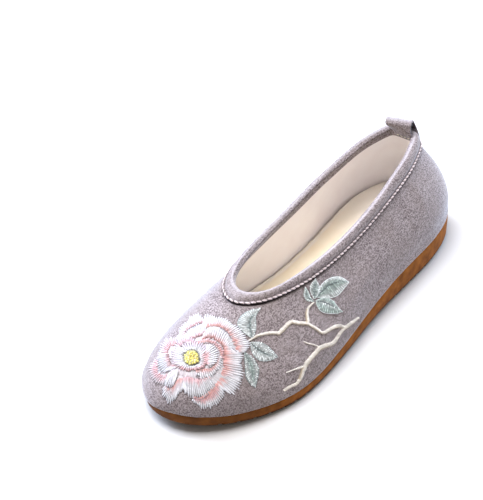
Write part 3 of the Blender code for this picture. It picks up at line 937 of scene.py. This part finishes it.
# The first row of petals and of leaves lies lowest and is toned dark: painted shade that shows in the gaps
# between the strands over it.
rowTables = {
    "petal": [
        ((0.10, 0.99), 0.95, 0.9, 0.42, 0.00, (0.44, 0.58), 0.0),
        ((0.00, 0.62), 2.20, 1.4, 0.40, 0.22, (0.74, 0.90), 0.0),
        ((0.38, 1.00), 2.20, 2.4, 0.40, 0.26, (0.72, 0.90), 0.05),
    ],
    "ground": [
        ((0.00, 0.55), 0.95, 1.5, 0.45, 0.02, (0.60, 0.82), 0.0),
        ((0.45, 1.00), 1.35, 1.5, 0.45, 0.06, (0.60, 0.82), 0.0),
    ],
    "leaf": [
        ((0.00, 1.00), 0.85, 0.4, 0.40, 0.00, (0.42, 0.62), 0.0),
        ((0.00, 0.40), 2.00, 1.0, 0.36, 0.20, (0.82, 1.12), 0.16),
        ((0.34, 0.70), 2.00, 1.2, 0.36, 0.22, (0.70, 1.12), 0.38),
        ((0.66, 1.00), 2.00, 1.0, 0.36, 0.20, (0.70, 1.12), 0.38),
    ],
}
petalRows, groundRows, leafRows = (
    [dict(zip(rowKeys, row)) for row in rowTables[kind]] for kind in ("petal", "ground", "leaf"))
petalLightFall = {"across": (165, 235), "shares": (0.92, 1.15)}  # px and shares; painted light: petals are darker towards the flower's left and paler towards its right
petalHeight = {"ground": 0.05, "base": 0.15, "layer": 0.22}  # mm, a petal in front lies on the one behind
# rim and root run side by side; tints go from rim to root
petals = [
    {"layer": 0, "tints": ("white", "blush", "pink"),
     "rim": [(178.8, 335.5), (180.6, 328.6), (186.6, 322.1), (192.6, 315.6), (198.2, 314.3), (202.8, 317)],
     "root": [(185, 337), (187.5, 332.5), (193, 327.5), (199.5, 325), (203, 324)]},
    {"layer": 0, "tints": ("white", "blush", "salmon"),
     "rim": [(204.2, 320), (206.5, 315.6), (214.4, 316.6), (224.6, 318.9), (232.9, 323.5), (241.2, 330),
             (246.3, 337.4), (249.5, 344.3), (247.2, 349.4), (243.5, 352.2)],
     "root": [(204.5, 330), (210, 327.5), (217.2, 327.2), (224.6, 331), (229.2, 337), (232.9, 344),
              (236, 350), (238, 352)]},
    {"layer": 0, "tints": ("blush", "pink", "pink"),
     "rim": [(154.3, 359.6), (150.6, 366), (149.2, 371.6), (151.5, 378), (156, 383.6), (162.6, 385.5)],
     "root": [(160, 362), (159, 367), (159.5, 372), (163.5, 374.4), (168, 373)]},
    {"layer": 0, "tints": ("white", "blush", "salmon"),
     "rim": [(162.6, 389.6), (164.9, 397.5), (169.5, 403), (173.7, 401.2), (177.4, 396), (182.9, 389.2)],
     "root": [(167.2, 386), (171.8, 386.5), (175.5, 382.5), (179, 378.5), (183.9, 377)]},
    {"layer": 0, "tints": ("white", "pink", "salmon"),
     "rim": [(192.6, 400.3), (196.8, 404.9), (204.2, 407.9), (213.5, 406), (219.9, 400.3), (224.1, 392.9)],
     "root": [(195, 396.5), (200.5, 396.5), (206, 393), (210.7, 389), (214.4, 384)]},
    {"layer": 0, "tints": ("white", "white", "salmon"),
     "rim": [(240.7, 379), (239.8, 385.5), (235.7, 392), (231, 394.7), (226.4, 391), (223, 391)],
     "root": [(221.3, 372.5), (219.9, 376.2), (218, 379.9), (216, 382.7), (214.4, 384.6)]},
    {"layer": 1, "tints": ("blush", "pink", "pink"),
     "rim": [(176.5, 337.4), (167.2, 338.8), (163, 344.8), (160.3, 352.2), (157.5, 358.5)],
     "root": [(177, 346), (171.5, 348), (169.5, 351.5), (168.5, 357)]},
    {"layer": 1, "tints": ("white", "blush", "salmon"),
     "rim": [(240.7, 363), (243.1, 368.8), (243.1, 375.3), (240.3, 380)],
     "root": [(223.2, 361.4), (222.7, 366), (221.8, 370.7), (220.9, 374)]},
    {"layer": 1, "tints": ("white", "blush", "salmon"),
     "rim": [(230, 345.7), (237.5, 351.3), (242, 354), (242.6, 359.6), (240, 364.2)],
     "root": [(224, 345.7), (223.6, 351.3), (223.2, 356.8), (223.2, 361.8)]},
    {"layer": 1, "tints": ("white", "white", "pink"),
     "rim": [(183.4, 337.5), (187, 331.5), (194, 327.5), (200, 324.5), (206, 325)],
     "root": [(189, 341), (195, 339), (200.5, 337), (206, 335)]},
    {"layer": 1, "tints": ("white", "blush", "salmon"),
     "rim": [(204.5, 333.5), (207.9, 329.5), (215.3, 328.4), (222.7, 331.4), (227.3, 336.5), (229, 342.5)],
     "root": [(203, 340), (209, 339), (214, 340), (219, 343.5), (222, 347), (224, 351)]},
    {"layer": 1, "tints": ("white", "white", "pink"),
     "rim": [(183.9, 388.3), (186.6, 393.8), (194, 397.8), (202.4, 397.5), (209.8, 392), (214.8, 384.6)],
     "root": [(184, 377), (190, 377), (196.8, 379), (202, 377), (208, 376)]},
    {"layer": 2, "tints": ("white", "white", "pink"),
     "rim": [(160, 355.5), (157, 362), (158.4, 369.5), (162.6, 373.9), (168, 372.4), (174, 369.5)],
     "root": [(170, 355), (170.4, 359.6), (171.8, 363.3), (173.7, 365), (176.5, 366), (178.3, 367)]},
    {"layer": 2, "tints": ("white", "white", "blush"),
     "rim": [(167, 379), (166.8, 386.6), (171.4, 388), (175.5, 383.5), (178.5, 375)],
     "root": [(173, 371), (174, 370), (175, 369.5), (176.5, 369.5), (178, 370)]},
    {"layer": 2, "tints": ("lilac", "pink", "lilac"),
     "rim": [(176.5, 341.5), (184.8, 337.4), (193, 338.6), (198.5, 342)],
     "root": [(181, 348.5), (186, 345.5), (191.3, 345), (196, 347)]},
    {"layer": 2, "tints": ("white", "blush", "salmon"),
     "rim": [(196.8, 376.5), (204.2, 379), (211.6, 377.2), (216.5, 372.5), (221, 366), (222.5, 358)],
     "root": [(196.8, 370), (202.4, 369), (207.9, 368.8), (211.6, 368), (215, 364), (217.5, 357)]},
    {"layer": 2, "tints": ("pink", "salmon", "blush"),
     "rim": [(198, 341.5), (206, 339.5), (213, 341), (219, 345), (223, 351), (223.5, 358)],
     "root": [(200, 346), (206, 344), (212, 345), (216.5, 348.5), (218.8, 353), (218.8, 358)]},
    {"layer": 3, "tints": ("blush", "white", "white"),
     "rim": [(176, 345.5), (171.8, 351.3), (170.9, 356.8), (172.8, 362.4), (177.4, 366.5)],
     "root": [(186, 352), (184.5, 355), (184.5, 359.6), (186, 363.3), (188.5, 365.5)]},
    {"layer": 3, "tints": ("pink", "white", "white"),
     "rim": [(179.2, 369), (184.8, 371), (190.3, 371.8), (196, 370)],
     "root": [(185.5, 363.5), (188, 365), (190.5, 366), (194, 366.5)]},
    {"layer": 3, "tints": ("lilac", "white", "white"),
     "rim": [(180, 349), (186, 345.5), (192, 343.6), (198.7, 343), (205, 345), (208.5, 349)],
     "root": [(186.5, 353.5), (189, 351.8), (192.2, 351), (196, 352), (199, 354.5), (200, 357)]},
    {"layer": 3, "tints": ("white", "white", "pink"),
     "rim": [(207.9, 347), (212.5, 345.7), (217.2, 349.4), (218.6, 356), (216.2, 362.4), (211, 367.2)],
     "root": [(205.5, 352), (204.6, 355), (204.8, 359.6), (206, 363.5), (208, 366)]},
    {"layer": 3, "tints": ("pink", "blush", "white"),
     "rim": [(204.5, 350), (207, 358), (207, 365), (202.4, 369.2), (195.5, 370)],
     "root": [(199.5, 355.5), (200.2, 360.5), (198.8, 364), (196, 366), (193, 367)]},
]
greenTints = {"mint": "#c8d8d1", "sage": "#bcc6c4", "deep": "#8b9795", "frost": "#ecf1ef", "dusk": "#6c7776"}
# both edges and the rib run from the leaf's base to its tip; tints go from edge to rib
leaves = [
    {"tints": ("frost", "frost", "sage"), "outline": "sage", "rib": "deep",
     "edges": [[(251.4, 338), (243, 331.8), (237.6, 324.4), (241, 316.5), (249.5, 311), (259.7, 308.7)],
               [(252.5, 338), (254.8, 332), (255.8, 325), (255.3, 317), (259.7, 308.7)]],
     "middle": [(251.8, 337), (250, 328), (250.5, 320), (259.2, 309.5)]},
    {"tints": ("frost", "frost", "sage"), "outline": "sage", "rib": "dusk",
     "edges": [[(250.5, 342.5), (259.7, 342.5), (268, 347), (277.3, 356.8)],
               [(250.5, 343), (252, 352), (258.5, 360), (269, 360.5), (277.3, 356.8)]],
     "middle": [(250.8, 343), (258, 350), (267, 354.5), (276.5, 356.5)]},
    {"tints": ("frost", "sage", "mint"), "outline": "deep", "rib": "deep",
     "edges": [[(245, 352.5), (254.2, 359.6), (258.5, 369.8), (257.2, 378), (255.1, 387.3)],
               [(244, 353), (244.9, 365), (246, 377), (250, 383.5), (255.1, 387.3)]],
     "middle": [(244.6, 353.5), (250.5, 364), (252.5, 375), (254.8, 386)]},
    {"tints": ("frost", "mint", "mint"), "outline": "frost", "rib": "dusk",
     "edges": [[(316.4, 297.4), (319.8, 286.6), (327.2, 279.4), (336.3, 276.8), (343, 278.4), (348.6, 282.4)],
               [(316.8, 298), (324, 297), (331.4, 297.6), (338, 295), (343, 289), (348.6, 282.4)]],
     "middle": [(316.6, 297.4), (322, 290.7), (330, 284.4), (340, 281.8), (348, 282.2)]},
    {"tints": ("mint", "mint", "frost"), "outline": "frost", "rib": "dusk",
     "edges": [[(316, 300.6), (324, 297.8), (331.4, 300), (336.3, 305.7), (341.3, 311.5)],
               [(315.6, 301.5), (317, 306.5), (320, 311), (326.4, 313.4), (336.3, 313.2), (341.3, 311.5)]],
     "middle": [(316, 301), (324, 302.6), (333, 306.5), (340.5, 311)]},
    {"tints": ("frost", "mint", "sage"), "outline": "frost", "rib": "deep",
     "edges": [[(313.6, 299), (309.8, 290.5), (310.8, 284.5), (315, 279.4)],
               [(314.4, 299), (319.5, 291), (318.8, 285.5), (315, 279.4)]],
     "middle": [(314, 298.4), (314.2, 289), (315, 280.2)]},
    {"tints": ("frost", "mint", "sage"), "outline": "mint", "rib": "deep",
     "edges": [[(313.2, 301.5), (306.5, 300.5), (303.4, 294), (305, 287.6)],
               [(313.2, 300.8), (309.5, 297), (308, 292), (305, 287.6)]],
     "middle": [(313, 301), (307.5, 297.5), (305.8, 292.5), (305.2, 288.4)]},
]
# paths in px, and the width in px at their start, middle and end
branches = [
    {"widths": (1.8, 3.0, 3.4),
     "path": [(249.5, 340.5), (257, 336), (263, 334.4), (271, 333), (279.1, 333.6)]},
    {"widths": (3.8, 3.8, 3.4),
     "path": [(278.4, 333.8), (284.9, 327.4), (290.7, 322), (297.4, 323.1), (307, 323.6)]},
    {"widths": (3.6, 2.8, 1.6),
     "path": [(307, 324), (307.4, 319.8), (306.6, 313.9), (308.1, 308.1), (313.1, 302.8)]},
    {"widths": (2.8, 2.8, 3.4),
     "path": [(306.6, 323.4), (310.6, 325.6), (316.4, 329), (322.7, 333), (329.7, 329.3), (335.5, 326.4)]},
    {"widths": (3.6, 3.6, 2.0),
     "path": [(335, 326.6), (339.7, 326), (344.6, 327.6), (349.6, 323.9), (357.9, 317.7)]},
    {"widths": (2.8, 3.6, 4.2),
     "path": [(344.4, 327.8), (339.7, 333), (335.5, 339.7), (331.4, 343.8), (325.6, 345.5), (318.9, 348.2)]},
    {"widths": (4.2, 4.0, 2.2),
     "path": [(320, 347.4), (313.1, 355.4), (307.3, 362), (303.2, 369.5), (299.9, 378.6), (295.7, 384),
              (289.9, 386.4), (284.1, 390.2)]},
    {"widths": (1.8, 1.5, 1.2), "path": [(318.1, 346.9), (313.1, 344.8), (308.1, 343.8), (303.6, 342)]},
    {"widths": (2.4, 2.2, 1.2), "path": [(302, 367), (298, 368.3), (294.5, 369.3)]},
    {"widths": (1.0, 0.9, 0.8), "path": [(294, 369.6), (286.2, 372.4)]},
]
branchStyle = {
    "fullness": 1.12,
    "unevenness": (0.9, 1.1),
    "spacing": 1.25,  # px
    "slant": 0.5,
    "halfWidth": 0.36,  # mm
    "height": 0.1,
    "lift": 0.45,
    "light": "#f6efe4",
    "shade": "#cbbca4",
    "shadeShare": 1 / 3,
    "spread": 0.14,
}
leafStyle = {
    "height": 0.1,  # mm
    "slant": 0.12,  # share, the strands lean to the tip
    "outline": {"spacing": 3.2, "halfWidth": 0.24, "height": 0.30},  # px, mm and mm
    "rib": {"spacing": 3.6, "halfWidth": 0.24, "height": 0.42},
}

# Short dark stitch lines where petals part, painted shade in the gaps between them; in px
partings = [
    [(208.9, 367.5), (217.2, 361)],
    [(206.4, 365), (205.4, 358), (207.4, 351.5)],
    [(166.8, 386.5), (172.8, 387.4), (177.4, 375.4)],
    [(179.3, 369), (183.9, 366.1)],
    [(186.7, 369.8), (190.4, 367)],
    [(220, 328), (227.4, 332.8), (231, 339.3)],
    [(231.6, 348.5), (236.7, 352.2)],
    [(213.5, 343.9), (219, 346.7)],
    [(194, 397.6), (201.5, 399), (208.9, 393.9)],
    [(195.5, 376.3), (200.5, 379)],
    [(161, 373.5), (169, 372.5)],
    [(185.5, 333.5), (193, 328.2), (200, 325.4)],
    [(178.5, 346.5), (187, 342.4)],
]
partingStyle = {"tint": "#8d7d83", "line": {"spacing": 3.0, "halfWidth": 0.20, "height": 1.0}}
lineStyle = {"lift": 0.1, "spread": 0.12}  # mm, and a share from stitch to stitch

# Yellow knots in the flower's middle, on a yellow ground; sizes in px across the flower, else in mm
knots = {
    "centre": (192.2, 358.6),
    "reach": 6.6,
    "reachUneven": (0.88, 1.12),
    "turnUneven": 0.5,  # radians
    "count": 60,
    "radius": 0.5,
    "radiusUneven": (0.8, 1.25),
    "height": 1.45,
    "heightUneven": 0.2,
    "tints": ["#f0e684", "#eadc63", "#f4efb4", "#ece07a", "#c2ad55"],
}
disc = {"tint": "#ede6ae", "points": 17, "overlap": 1.4, "eye": 0.6, "below": 0.35}  # px, px and mm
groundRim = [(185, 331), (203, 323), (222, 325), (238, 339), (241, 358), (236, 380), (216, 393), (198, 395),
             (182, 389), (168, 389), (156, 377), (157, 360), (164, 346), (176, 338), (185, 331)]
groundTints = ("white", "blush", "white")


def onCloth(pixels):  # points and normals where the photograph's sight lines meet the cloth
    spots = [clothTree.ray_cast(*sightLine(pixel))[:2] for pixel in pixels]
    return np.array([spot for spot, normal in spots]), np.array([normal for spot, normal in spots])


def pixelStrand(start, end, halfWidth, height, lift, colours):
    spots, normals = onCloth(np.linspace(start, end, thread["rings"]))
    return strand(spots + normals * height, normals, halfWidth, lift, colours)


def lineStrands(path, line, hexColour):  # short stitches end to end along a path
    places = smoothPath(path, max(2, round(pathLength(np.array(path)) / line["spacing"]) + 1))
    return [pixelStrand(place, ahead, line["halfWidth"] * mm, line["height"] * mm, lineStyle["lift"] * mm,
                        flatTint(hexColour, lineStyle["spread"]))
            for place, ahead in zip(places, places[1:])]


satin = {
    "tintStops": (0.28, 0.58, 0.88),  # shares from rim to root
    "tintUneven": 0.12,
    "widthUneven": (0.85, 1.15),
    "heightUneven": 0.12,  # mm
    "lift": 0.12,
    "fewest": 4,
    "shortest": 2.5,  # px, keeps the uneven ends of short strands small
    "rootSteps": 4,  # the root is laid out this much finer than the rim
}


def satinBand(rim, root, tints, rows, height, slant=0.0):
    stops = np.array([linear(tint) for tint in tints])
    strands = []
    for row in rows:
        count = max(satin["fewest"], round(pathLength(np.array(rim)) / row["spacing"]))
        rimLine = smoothPath(rim, count)
        fine = count * satin["rootSteps"]
        rootLine = smoothPath(root, fine)[np.linspace(0, (fine - 1) * (1 - slant), count).astype(int)]
        for edge, end in zip(rimLine, rootLine):
            if rng.random() < row["skip"]:
                continue
            run = end - edge
            uneven = rng.uniform(-1, 1, 2) * row["fringe"] / max(np.linalg.norm(run), satin["shortest"])
            a, b = row["ends"][0] + uneven[0], min(1.0, row["ends"][1] + uneven[1])
            stray = rng.uniform(-satin["tintUneven"], satin["tintUneven"])
            shares = np.clip(np.linspace(a, b, thread["rings"]) + stray, 0, 1)
            colours = np.stack(
                [np.interp(shares, satin["tintStops"], stops[:, c]) for c in range(4)], axis=-1)
            colours[:, :3] *= rng.uniform(*row["tone"])
            halfWidth = row["halfWidth"] * rng.uniform(*satin["widthUneven"]) * mm
            up = (height + row["height"] + rng.uniform(0, satin["heightUneven"])) * mm
            strands.append(pixelStrand(edge + run * a, edge + run * b, halfWidth, up, satin["lift"] * mm,
                                       np.clip(colours, 0, 1)))
    return strands


def spoke(turn):
    return np.array([math.cos(turn), math.sin(turn)])


centre = np.array(knots["centre"])
groundSpokes = [np.array(place) - centre for place in groundRim]
groundRoot = [centre + knots["reach"] * run / np.linalg.norm(run) for run in groundSpokes]
groups = {
    "outer": satinBand(groundRim, groundRoot, [flowerTints[tint] for tint in groundTints], groundRows,
                       petalHeight["ground"]),
    "inner": [],
}
for petal in petals:
    tints = [flowerTints[tint] for tint in petal["tints"]]
    # painted light across the flower, set by the petal's place
    tone = np.interp(np.mean([place[0] for place in petal["rim"]]), petalLightFall["across"], petalLightFall["shares"])
    rows = [{**row, "tone": (row["tone"][0] * tone, row["tone"][1] * tone)} for row in petalRows]
    groups["outer" if petal["layer"] < 2 else "inner"] += satinBand(
        petal["rim"], petal["root"], tints, rows, petalHeight["base"] + petal["layer"] * petalHeight["layer"])
for path in partings:
    groups["inner"] += lineStrands(path, partingStyle["line"], partingStyle["tint"])
for group, strands in groups.items():
    threadPiece("flower_" + group + "_petals", strands)

strands = []
for leaf in leaves:
    tints = [greenTints[tint] for tint in leaf["tints"]]
    for edge in leaf["edges"]:
        strands += satinBand(edge, leaf["middle"], tints, leafRows, leafStyle["height"], leafStyle["slant"])
        strands += lineStrands(edge, leafStyle["outline"], greenTints[leaf["outline"]])
    strands += lineStrands(leaf["middle"], leafStyle["rib"], greenTints[leaf["rib"]])
threadPiece("leaf_stitches", strands)

strands = []
shadedRings = round(thread["rings"] * branchStyle["shadeShare"])
for branch in branches:
    count = round(pathLength(np.array(branch["path"])) / branchStyle["spacing"])
    line = smoothPath(branch["path"], count)
    runs = np.gradient(line, axis=0)
    runs /= np.linalg.norm(runs, axis=1, keepdims=True)
    for share, place, run in zip(np.linspace(0, 1, count), line, runs):
        across = np.array([-run[1], run[0]]) + run * branchStyle["slant"]
        width = np.interp(share, (0, 0.5, 1), branch["widths"]) * branchStyle["fullness"]
        across *= width / 2 * rng.uniform(*branchStyle["unevenness"])
        across *= 1 if across[1] > 0 else -1  # every stitch starts on the lower, shaded side
        colours = flatTint(branchStyle["light"], branchStyle["spread"])
        colours[:shadedRings] = linear(branchStyle["shade"])
        strands.append(pixelStrand(place + across, place - across, branchStyle["halfWidth"] * mm,
                                   branchStyle["height"] * mm, branchStyle["lift"] * mm, colours))
threadPiece("branch_stitches", strands)

rimTurns = np.linspace(0, 2 * math.pi, disc["points"])
discRim = [centre + (knots["reach"] + disc["overlap"]) * spoke(turn) for turn in rimTurns]
discRoot = [centre + disc["eye"] * spoke(turn) for turn in rimTurns]
threadPiece("flower_disc", satinBand(
    discRim, discRoot, [disc["tint"]] * 3, petalRows[:1], knots["height"] - disc["below"]))

goldenTurn = math.pi * (3 - math.sqrt(5))  # sets the knots evenly over the disc
bm = bmesh.new()
knotColour = bm.verts.layers.float_color.new("threadTint")
for k in range(knots["count"]):
    turn = k * goldenTurn + rng.uniform(-knots["turnUneven"], knots["turnUneven"])
    reach = knots["reach"] * math.sqrt((k + 0.5) / knots["count"]) * rng.uniform(*knots["reachUneven"])
    spots, normals = onCloth([centre + reach * spoke(turn)])
    up = (knots["height"] + rng.uniform(-knots["heightUneven"], knots["heightUneven"])) * mm
    radius = knots["radius"] * rng.uniform(*knots["radiusUneven"]) * mm
    knot = bmesh.ops.create_icosphere(
        bm, subdivisions=2, radius=radius, matrix=Matrix.Translation(Vector(spots[0] + normals[0] * up)))
    tint = linear(knots["tints"][rng.integers(len(knots["tints"]))])
    for vert in knot["verts"]:
        vert[knotColour] = tint
newPiece("flower_knots", bm, [rayonThread])
